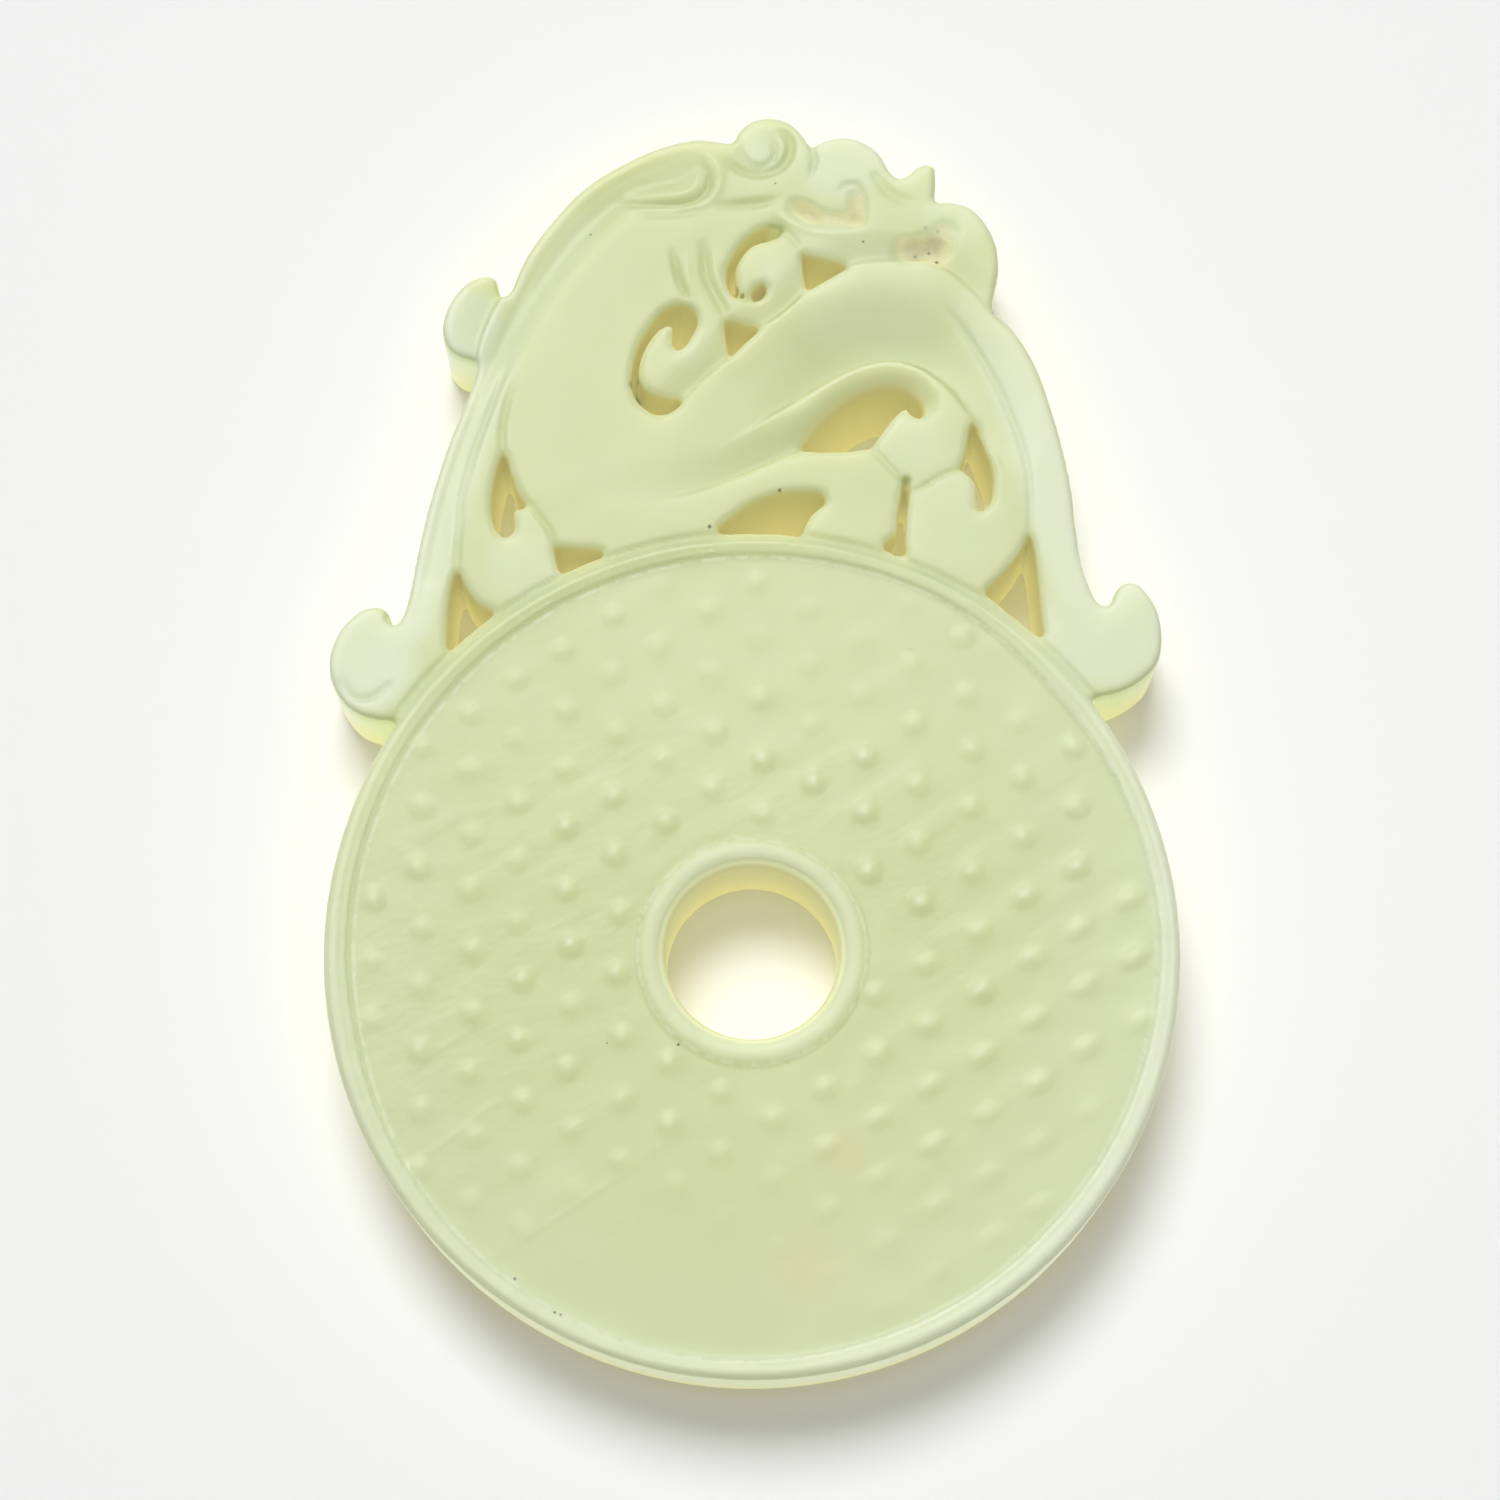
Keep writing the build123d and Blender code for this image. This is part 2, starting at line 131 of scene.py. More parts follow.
# a groove has the same slope on both sides; width is from its middle to its edge
grooves = {
    "leftBand": (0.2, 0.34, [(-17.8, 24.6, 0.6), (-17.65, 26.5, 1), (-17.45, 29.0, 1), (-16.9, 31.2, 1),
                             (-16.2, 33.3, 1), (-15.5, 35.2, 1), (-14.9, 36.8, 0.8), (-14.2, 38.5, 0)]),
    "leftLimb": (0.2, 0.34, [(-14.85, 31.9, 0.8), (-14.85, 33.6, 1), (-14.5, 35.4, 0.8),
                             (-13.9, 37.2, 0)]),
    "teardrop": (0.26, 0.36, [(-7.6, 48.7, 0), (-6.4, 48.55, 0.7), (-4.9, 48.45, 1), (-3.3, 48.45, 1),
                              (-2.2, 48.8, 1), (-1.55, 49.5, 1), (-1.5, 50.4, 0.8), (-2.0, 51.2, 0.2)]),
    "teardropFoot": (0.16, 0.45, [(-6.5, 47.9, 0), (-4.5, 47.75, 1), (-2.4, 47.9, 0.8), (-1.2, 48.3, 0)]),
    "petal": (0.1, 0.6, [(-6.2, 49.7, 0.2), (-4.6, 49.9, 0.9), (-3.4, 50.1, 1), (-2.7, 50.7, 0.5)]),
    "crescent": (0.22, 0.5, [(-1.2, 48.25, 0), (0.2, 48.3, 0.9), (1.8, 48.4, 1), (3.2, 48.7, 0.2)]),
    "topCurl": (0.32, 0.5, [(-0.4, 51.5, 0.1), (0.5, 50.75, 0.8), (1.6, 50.4, 1), (2.7, 50.6, 1),
                           (3.5, 51.2, 1), (3.85, 52.2, 1), (3.6, 53.0, 0.7), (2.9, 53.3, 0)]),
    "knob": (0.2, 0.35, [(0.6, 52.2, 0.4), (0.75, 51.6, 0.9), (1.3, 51.0, 1), (2.2, 51.0, 1),
                          (2.8, 51.6, 1), (2.85, 52.4, 0.9), (2.4, 53.1, 0.3)]),
    "lobeLine": (0.26, 0.35, [(5.2, 52.1, 0.9), (5.35, 51.3, 1), (5.2, 50.6, 0.7), (5.0, 49.9, 0)]),
    "stemLeft": (0.26, 0.34, [(-3.9, 45.3, 0.2), (-3.7, 44.2, 0.9), (-3.5, 43.2, 1), (-3.05, 42.25, 0.8)]),
    "stemRight": (0.28, 0.55, [(-1.85, 46.2, 0), (-1.85, 44.6, 0.8), (-1.75, 43.5, 1), (-1.3, 42.4, 1),
                               (-0.75, 41.2, 0.8)]),
    "bandEdge": (0.05, 0.28, [(-20.6, 20.6, 0), (-20.0, 22.4, 1), (-19.6, 24.4, 1), (-19.1, 26.8, 1),
                              (-18.3, 30.0, 1), (-17.3, 33.0, 1), (-16.0, 36.6, 1), (-14.9, 39.4, 1),
                              (-13.6, 42.3, 1), (-12.3, 44.8, 1), (-10.8, 46.9, 1), (-9.0, 48.8, 1),
                              (-7.0, 50.2, 1), (-4.8, 51.2, 0.8), (-3.0, 51.7, 0)]),
    "jaw": (0.2, 0.35, [(2.6, 47.5, 0.3), (3.4, 46.4, 1), (4.1, 45.5, 0.8)]),
    "mouthHook": (0.2, 0.3, [(7.0, 49.25, 0.5), (7.4, 49.5, 0.9), (8.05, 49.4, 1), (8.4, 48.7, 1),
                             (8.5, 47.8, 0.8), (8.4, 46.9, 0.6)]),
    "spikeFoot": (0.16, 0.5, [(9.3, 50.0, 0.8), (9.9, 49.1, 1), (10.8, 48.4, 0.8), (11.9, 48.0, 0)]),
    "hookLine": (0.2, 0.32, [(-24.9, 17.2, 0.6), (-24.2, 16.3, 1), (-23.1, 16.25, 1), (-22.0, 17.0, 0.5)]),
    "rightBand": (0.17, 0.28, [(12.8, 41.7, 0), (14.2, 39.9, 0.8), (15.3, 38.0, 1), (16.4, 35.8, 1),
                              (17.3, 33.4, 1), (17.95, 31.0, 1), (18.2, 28.8, 1), (18.1, 26.0, 0.8)]),
    "hock": (0.22, 0.25, [(8.4, 31.6, 0.8), (9.1, 30.8, 1), (9.7, 30.1, 1), (10.3, 29.3, 0.8)]),
    "knee": (0.24, 0.26, [(10.5, 28.7, 0.8), (11.5, 29.05, 1), (12.6, 29.7, 1), (13.95, 30.15, 0.8)]),
    "curlSlit": (1.2, 0.32, [(2.9, 46.5, 0.9), (1.9, 46.25, 1), (0.9, 45.65, 1), (0.15, 44.7, 1),
                             (-0.2, 43.7, 1), (-0.1, 42.7, 1), (0.2, 42.2, 0.8), (0.9, 41.9, 0.4),
                             (1.5, 42.1, 0.5)]),
    "thinSlit": (1.6, 0.32, [(10.45, 29.5, 0.8), (10.3, 28.2, 1), (10.1, 27.0, 1), (10.0, 25.8, 1),
                             (9.7, 24.9, 1)]),
    "haunch": (0.26, 0.27, [(-14.2, 30.3, 0.8), (-13.55, 29.0, 1), (-12.65, 27.8, 1), (-11.95, 26.7, 1),
                            (-11.6, 25.6, 0.8)]),
}

# a hollow has a flat bottom and a soft wall: (depth, half width, width of the wall, rows)
hollows = {
    "mouthFront": (0.38, 0.5, 0.7, [(4.1, 48.1, 0.8), (4.7, 47.85, 1), (5.1, 47.4, 1)]),
    "mouthBack": (0.36, 0.42, 0.5, [(7.85, 48.7, 0.5), (7.9, 48.0, 0.9), (7.95, 47.2, 1)]),
    "mouthFloor": (0.3, 0.42, 0.6, [(4.6, 47.8, 1), (5.6, 47.35, 1), (6.6, 47.15, 1), (7.6, 47.15, 1)]),
    "roughPatch": (0.45, 0.75, 0.9, [(11.0, 44.9, 0.8), (12.2, 45.1, 1), (13.0, 45.2, 1),
                                     (13.6, 46.0, 0.5)]),
}

# a ridge stands above the face
ridges = {
    "teardropStem": (0.1, 0.35, [(-1.9, 48.2, 0.5), (-1.1, 49.0, 1), (-0.75, 50.0, 1), (-0.9, 51.2, 1),
                                 (-1.8, 52.0, 0.3)]),
    "petalEdge": (0.1, 0.3, [(-6.6, 49.1, 0.3), (-4.4, 49.1, 1), (-3.1, 49.15, 1), (-2.35, 49.6, 1),
                             (-2.2, 50.4, 0.5)]),
    "lip": (0.1, 0.35, [(3.0, 47.5, 0.6), (3.9, 46.9, 1), (5.2, 46.35, 1), (6.8, 46.15, 0.8),
                        (8.6, 46.2, 0)]),
    "stemRidge": (0.1, 0.3, [(-3.0, 45.0, 0), (-3.0, 44.0, 1), (-2.95, 43.2, 1), (-2.5, 42.3, 0.6)]),
    "curlEdge": (0.08, 0.3, [(-1.2, 44.8, 0.3), (-1.15, 43.6, 1), (-0.8, 42.6, 1), (-0.3, 41.7, 0.4)]),
}

# a step drops to its low side and comes back up over its run; the low side is on the left
# of the way its rows go
steps = {
    "neckLow": (0.34, 2.2, [(-3.7, 34.9, 0.7), (-2.3, 36.3, 1), (-1.1, 37.45, 1), (-0.3, 38.1, 1),
                            (1.5, 39.85, 1), (2.8, 40.75, 1), (3.9, 41.7, 1), (4.8, 42.6, 1),
                            (7.0, 43.85, 1), (8.6, 44.25, 1), (10.4, 44.3, 1), (12.2, 44.1, 1),
                            (13.8, 43.3, 0.8), (15.2, 41.9, 0.6), (16.3, 40.4, 0.5)]),
    "limbTop": (0.95, 5.6, [(-3.4, 30.9, 0), (-1.2, 32.1, 0.04), (1.0, 33.3, 0.12),
                            (2.4, 34.2, 0.3), (4.0, 35.1, 0.56), (6.0, 36.35, 0.9), (8.0, 37.25, 1),
                            (9.8, 37.5, 1), (11.4, 37.1, 0.9), (12.8, 36.1, 0.6),
                            (13.9, 34.8, 0.4), (14.7, 33.4, 0.3)]),
    "limbLow": (0.5, 3.0, [(-7.6, 28.5, 0), (-5.4, 28.6, 0.1), (-3.4, 28.9, 0.3), (-1.4, 29.5, 0.6),
                           (0.4, 30.15, 0.9), (2.2, 30.95, 1), (4.1, 31.75, 0.8)]),
    "volute": (0.4, 2.6, [(-16.5, 38.2, 0.8), (-16.1, 39.8, 1), (-15.55, 41.2, 1), (-14.9, 42.4, 0.8)]),
}

# a valley is a broad soft hollow
valleys = {
    "shoulder": (0.42, 1.0, [(-16.7, 35.5, 0), (-15.3, 38.3, 1), (-13.6, 41.3, 1), (-11.6, 44.4, 1),
                             (-9.6, 46.9, 1), (-7.6, 48.7, 0.8), (-5.0, 50.2, 0.6), (-2.6, 50.9, 0.3)]),
    "eyeBrow": (0.7, 0.8, [(3.4, 31.9, 0.3), (4.8, 33.0, 0.8), (6.2, 34.4, 1), (7.8, 35.4, 1),
                           (9.4, 35.8, 1), (10.8, 35.5, 1), (11.6, 34.7, 0.7)]),
    "leftHook": (0.1, 1.3, [(-24.3, 17.4, 0.8), (-23.6, 19.2, 1), (-22.9, 20.4, 0.6)]),
    "leftBandFace": (0.2, 0.7, [(-19.4, 24.0, 0.8), (-18.4, 28.5, 1), (-17.1, 32.8, 1),
                                (-16.0, 36.2, 0.6)]),
}


def smooth(t):
    t = np.clip(t, 0, 1)
    return t * t * (3 - 2 * t)


def rising(value, start, run):
    return smooth((value - start) / run)


def falling(value, end, run):
    return smooth((end - value) / run)


def bell(t):
    return np.clip(1 - t * t, 0, None) ** 2


def rolledEdge(intoRoll, roll):
    # how far a rounded edge has dropped, this far into its roll
    inRoll = np.clip(intoRoll, 0, roll)
    return roll - np.sqrt(roll ** 2 - inRoll ** 2)


def smoothLine(rows, stepsEach=8):
    # a curve through the chosen rows
    rows = np.array(rows, float)
    padded = np.vstack([2 * rows[0] - rows[1], rows, 2 * rows[-1] - rows[-2]])
    t = np.linspace(0, 1, stepsEach, endpoint=False)[:, None]
    parts = []
    for a, b, c, d in zip(padded, padded[1:], padded[2:], padded[3:]):
        parts.append(b + 0.5 * t * (c - a + t * (2 * a - 5 * b + 4 * c - d + t * (3 * (b - c) + d - a))))
    return np.vstack(parts + [rows[-1:]])


def beside(xy, rows):
    # signed distance from a curve, positive on its left, and the share of the depth there
    line = smoothLine(rows)
    nearest = np.full(len(xy), 1e9)
    side = np.ones(len(xy))
    share = np.zeros(len(xy))
    for a, b in zip(line, line[1:]):
        run = b[:2] - a[:2]
        t = np.clip((xy - a[:2]) @ run / (run @ run), 0, 1)
        off = xy - a[:2] - t[:, None] * run
        far = np.hypot(off[:, 0], off[:, 1])
        closer = far < nearest
        nearest[closer] = far[closer]
        side[closer] = np.sign(run[0] * off[closer, 1] - run[1] * off[closer, 0])
        share[closer] = a[2] + (b[2] - a[2]) * t[closer]
    return nearest * side, share


def fieldStrength(xy):
    # how deep the field is worked, blended between the chosen places
    total = np.full(len(xy), 1e-6)
    mixed = np.zeros(len(xy))
    for x, y, strength in grains["strength"]:
        weight = np.exp(-((xy[:, 0] - x) ** 2 + (xy[:, 1] - y) ** 2) / grains["strengthReach"] ** 2)
        total += weight
        mixed += weight * strength
    return mixed / total


def grainPlaces():
    # columns of grains, every other column half a pitch up, each a little off its place
    rng = np.random.default_rng(grains["seed"])
    places = []
    for column in range(*grains["columns"]):
        step = grains["columnsRight"] if column > 0 else grains["columnsLeft"]
        for row in range(*grains["rows"]):
            x = grains["start"][0] + column * step
            y = grains["start"][1] + (row + 0.5 * (column % 2)) * grains["pitch"]
            y += grains["sag"] * min(x, 0)
            x, y = np.array((x, y)) + rng.uniform(-1, 1, 2) * grains["jitter"]
            inside = math.hypot(x, y - disc["shift"]) < disc["radius"] - grains["clearOfRim"]
            if inside and math.hypot(x, y) > grains["clearOfBore"]:
                places.append((x, y, rng.uniform(*grains["sizes"])))
    return places


def rimLines(xy):
    # distance from the disc's centre, and how far out the two cut lines run there
    x = xy[:, 0]
    y = xy[:, 1] - disc["shift"]
    angle = np.degrees(np.arctan2(y, x)) % 360
    table = np.array(disc["lines"])
    return (np.hypot(x, y), np.interp(angle, table[:, 0], table[:, 1], period=360),
            np.interp(angle, table[:, 0], table[:, 2], period=360))


def fieldHeight(xy):
    # the disc's face: rolled rim, two lines, sunk field, grains, collar and the bore's roll
    out, firstLine, secondLine = rimLines(xy)
    fromBore = np.hypot(xy[:, 0], xy[:, 1])
    onRim = smooth((out - firstLine + disc["stepInwards"]) / disc["stepWidth"] + 0.5)
    z = disc["fieldTop"] + (disc["rimTop"] - disc["fieldTop"]) * onRim
    fromBead = out - (firstLine + secondLine) / 2 + disc["beadInwards"]
    z += disc["beadRise"] * bell(fromBead / disc["beadWidth"])
    for line in (firstLine - disc["firstLineInwards"], secondLine):
        z -= disc["lineDepth"] * bell((out - line) / disc["lineWidth"])
    z -= rolledEdge(out - disc["radius"] + disc["rimRoll"], disc["rimRoll"])
    strength = fieldStrength(xy)
    turn = math.radians(grains["cutAngle"])
    for gx, gy, size in grainPlaces():
        near = np.flatnonzero(np.hypot(xy[:, 0] - gx, xy[:, 1] - gy) < grains["near"])
        dx = xy[near, 0] - gx
        dy = xy[near, 1] - gy
        lowRight = float(rising(gx - gy, grains["stretchFrom"], grains["stretchRun"]))
        drawnOut = 1 + (grains["stretch"] - 1) * lowRight
        along = (dx * math.cos(turn) + dy * math.sin(turn)) / drawnOut
        sideways = (dy * math.cos(turn) - dx * math.sin(turn)) * drawnOut ** grains["squeeze"]
        far = np.hypot(along, sideways) / grains["radius"]
        z[near] += grains["height"] * size * strength[near] * bell(far)
    # diagonal cuts run halfway between the rows of grains
    fromStart = xy - grains["start"]
    across = fromStart[:, 1] * math.cos(turn) - fromStart[:, 0] * math.sin(turn)
    spacing = grains["pitch"] * math.cos(turn)
    offCut = np.abs((across / spacing) % 1 - 0.5) * spacing
    inField = (falling(out, secondLine - grains["cutsClearOfRim"], grains["cutsFade"])
               * rising(fromBore, grains["cutsClearOfBore"], grains["cutsFade"]))
    z -= grains["cutDepth"] * strength ** 2 * inField * bell(offCut / grains["cutWidth"])
    for rows in grains["scratches"]:
        far, share = beside(xy, rows)
        z += grains["scratchRise"] * share * bell(far / grains["scratchWidth"])
    onCollar = smooth((collar["foot"] - fromBore) / collar["slope"] + 0.5)
    z += (collar["top"] - disc["fieldTop"]) * onCollar
    fromLine = fromBore - collar["foot"] - collar["lineOut"]
    z -= collar["lineDepth"] * bell(fromLine / collar["lineWidth"])
    return z - rolledEdge(collar["bore"] + collar["boreRoll"] - fromBore, collar["boreRoll"])


def crestHeight(xy, fromEdge):
    # the crest's face: strokes of the carver's tool, rolled edges and the moat at the rim
    plan = xy - (0, disc["shift"])
    z = np.full(len(xy), crest["face"])
    for depth, width, rows in grooves.values():
        far, share = beside(plan, rows)
        z -= depth * share * bell(far / width)
    for depth, width, rows in valleys.values():
        far, share = beside(plan, rows)
        z -= depth * share * np.exp(-(far / width) ** 2)
    for depth, run, rows in steps.values():
        far, share = beside(plan, rows)
        low = smooth(far / crest["stepEdge"] + 0.5) * smooth(1 - far / run)
        z -= depth * share * low
    for depth, halfWidth, wall, rows in hollows.values():
        far, share = beside(plan, rows)
        z -= depth * share * smooth((halfWidth - np.abs(far)) / wall + 0.5)
    for height, width, rows in ridges.values():
        far, share = beside(plan, rows)
        z += height * share * bell(far / width)
    out = np.hypot(plan[:, 0], plan[:, 1]) - disc["radius"]
    z -= crest["moatDepth"] * bell((out - crest["moatOut"]) / crest["moatWidth"])
    return z - rolledEdge(crest["edgeRoll"] - fromEdge, crest["edgeRoll"])


def bakeModifiers(piece):
    shaped = piece.evaluated_get(bpy.context.evaluated_depsgraph_get())
    mesh = bpy.data.meshes.new_from_object(shaped)
    piece.modifiers.clear()
    piece.data = mesh


def remesh(piece, size):
    voxels = piece.modifiers.new("voxels", "REMESH")
    voxels.mode = "VOXEL"
    voxels.voxel_size = size * mm
    voxels.use_smooth_shade = True
    bakeModifiers(piece)


def readMesh(mesh):
    # places in millimetres and normals
    places = np.empty(len(mesh.vertices) * 3)
    mesh.vertices.foreach_get("co", places)
    normals = np.empty(len(mesh.vertices) * 3)
    mesh.vertex_normals.foreach_get("vector", normals)
    return places.reshape(-1, 3) / mm, normals.reshape(-1, 3)


stoneWork = {
    "voxel": 0.15,
    "topFrom": 5.2,          # faces that look up above this height are carved
    "smoothing": 0.5,
    "smoothingRounds": 2,
    "undulation": 0.035,
    "undulationScale": 0.45,
    "triangles": 190000,
    "mergeWithin": 1e-7,     # metres
    "steep": 0.35,           # a normal's upward share: walls lie below it and the face above it
    "wallHeights": (1.5, 5),  # walls between these heights stand for the outline
    "underside": -0.5,
    "leanSteep": 0.9,
    "leanFrom": 4.6,         # below this height the gaps' walls lean in
}


def carveFace(mesh):
    places, normals = readMesh(mesh)
    height = places[:, 2]
    upwards = normals[:, 2]
    lowest, highest = stoneWork["wallHeights"]
    walls = (np.abs(upwards) < stoneWork["steep"]) & (height > lowest) & (height < highest)
    tree = kdtree.KDTree(int(walls.sum()))
    for number, place in enumerate(places[walls]):
        tree.insert((place[0], place[1], 0), number)
    tree.balance()
    top = (upwards > stoneWork["steep"]) & (height > stoneWork["topFrom"])
    for across, up, radius in crest["filled"]:
        far = np.hypot(places[:, 0] - across, places[:, 1] - disc["shift"] - up)
        top |= (far < radius) & (height > stoneWork["topFrom"])
    onDisc = np.hypot(places[:, 0], places[:, 1] - disc["shift"]) < disc["radius"]
    crestTop = top & ~onDisc
    upperWall = ~top & ~onDisc & (height > crest["wallFrom"]) & (upwards > stoneWork["underside"])
    for chosen, isTop in ((crestTop, True), (upperWall, False)):
        xy = places[chosen, :2]
        fromEdge = np.array([tree.find((x, y, 0))[2] for x, y in xy])
        target = crestHeight(xy, fromEdge)
        if isTop:
            places[chosen, 2] = target
        else:
            follow = rising(places[chosen, 2], crest["wallFrom"], crest["face"] - crest["wallFrom"])
            places[chosen, 2] += (target - crest["face"]) * follow
    # the walls of each gap lean in as its closest stained circle says
    plan = places[:, :2] - (0, disc["shift"])
    lean = np.zeros(len(places))
    closest = np.ones(len(places))
    for across, up, reach, inwards in jadeLook["stains"]:
        far = np.hypot(plan[:, 0] - across, plan[:, 1] - up) / reach
        lean[far < closest] = inwards
        closest = np.minimum(closest, far)
    leaning = (lean > 0) & (np.abs(upwards) < stoneWork["leanSteep"]) & (height < stoneWork["leanFrom"])
    sideways = normals[leaning, :2] / np.hypot(normals[leaning, 0], normals[leaning, 1])[:, None]
    drop = smooth(1 - height[leaning] / stoneWork["leanFrom"])
    places[leaning, :2] += sideways * (lean[leaning] * drop)[:, None]
    discTop = top & onDisc
    places[discTop, 2] = fieldHeight(places[discTop, :2])
    for number in np.flatnonzero(top):
        x, y = places[number, :2]
        unevenness = noise.noise(Vector((x, y, 0)) * stoneWork["undulationScale"])
        places[number, 2] += stoneWork["undulation"] * unevenness
    mesh.vertices.foreach_set("co", (places * mm).ravel())
    mesh.update()


def carvedStone():
    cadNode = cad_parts["jade_pendant"]
    stone = bpy.data.objects.new("jadeStone", cadNode.data.copy())
    bpy.context.scene.collection.objects.link(stone)
    bm = bmesh.new()
    bm.from_mesh(stone.data)
    bmesh.ops.remove_doubles(bm, verts=bm.verts, dist=stoneWork["mergeWithin"])
    bm.to_mesh(stone.data)
    bm.free()
    remesh(stone, stoneWork["voxel"])
    print("stone remeshed", len(stone.data.vertices))
    carveFace(stone.data)
    remesh(stone, stoneWork["voxel"])
    polish = stone.modifiers.new("polish", "SMOOTH")
    polish.factor = stoneWork["smoothing"]
    polish.iterations = stoneWork["smoothingRounds"]
    thin = stone.modifiers.new("thin", "DECIMATE")
    thin.ratio = stoneWork["triangles"] / (2 * len(stone.data.polygons))  # these are still quads
    bakeModifiers(stone)
    stone.data.shade_smooth()
    print("stone carved", len(stone.data.polygons))
    return stone


class Sockets:
    # a value in a material's node tree, with arithmetic
    def __init__(self, tree, socket):
        self.tree = tree
        self.socket = socket

    def make(self, kind, settings=None, inputs=None, output=0):
        node = self.tree.nodes.new(kind)
        for name, value in (settings or {}).items():
            setattr(node, name, value)
        for name, value in (inputs or {}).items():
            if isinstance(value, Sockets):
                self.tree.links.new(value.socket, node.inputs[name])
            else:
                node.inputs[name].default_value = value
        return Sockets(self.tree, node.outputs[output])

    def maths(self, operation, first, second=0.0):
        return self.make("ShaderNodeMath", {"operation": operation}, {0: first, 1: second})

    def __add__(self, other):
        return self.maths("ADD", self, other)

    def __mul__(self, other):
        return self.maths("MULTIPLY", self, other)

    def __sub__(self, other):
        return self.maths("SUBTRACT", self, other)

    def __rsub__(self, other):
        return self.maths("SUBTRACT", other, self)

    __radd__ = __add__
    __rmul__ = __mul__


